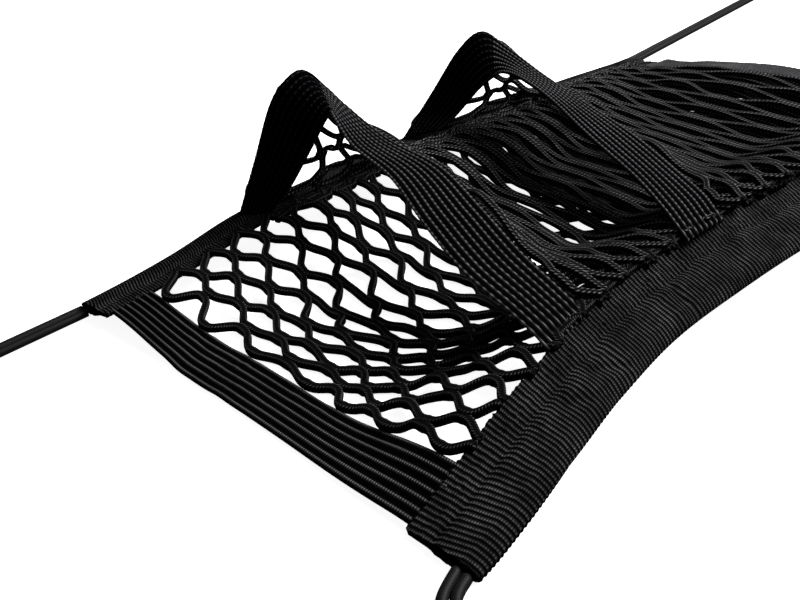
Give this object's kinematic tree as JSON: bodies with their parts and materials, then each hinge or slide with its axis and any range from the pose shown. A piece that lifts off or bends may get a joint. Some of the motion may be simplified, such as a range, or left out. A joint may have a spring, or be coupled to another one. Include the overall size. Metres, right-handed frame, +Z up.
{
  "type": "car seat storage net",
  "caption": "Black knotless storage net for a car seat, with two elastic-topped pockets, tape bindings and elastic cord loops at its corners.",
  "frame": {"origin": "on the surface that the net lies on, under the middle of the net, its corner cords left out", "axes": "+X along the net, from the open end with the wide elastic to the closed end; +Y across it, from the near side binding to the far one; +Z up"},
  "size_m": [0.7861, 0.3041, 0.0921],
  "materials": {
    "grosgrain_tape": "matt black polyester tape with fine cross ribs",
    "fine_tape": "matt black fine woven tape",
    "ribbed_elastic": "matt black woven elastic with lengthwise ribs",
    "net_cord": "matt black knitted net cord",
    "elastic_cord": "smooth black braided sheath"
  },
  "bodies": {
    "root": {"near_side_binding": "grosgrain_tape", "far_side_binding": "grosgrain_tape", "closed_end_binding": "fine_tape", "open_end_elastic": "ribbed_elastic", "pocket_elastic_1": "ribbed_elastic", "pocket_elastic_2": "ribbed_elastic", "base_net": "net_cord", "pocket_net_1": "net_cord", "pocket_net_2": "net_cord", "corner_cord_far_open": "elastic_cord", "corner_cord_near_open": "elastic_cord", "corner_cord_far_closed": "elastic_cord", "corner_cord_near_closed": "elastic_cord"}
  },
  "joints": []
}
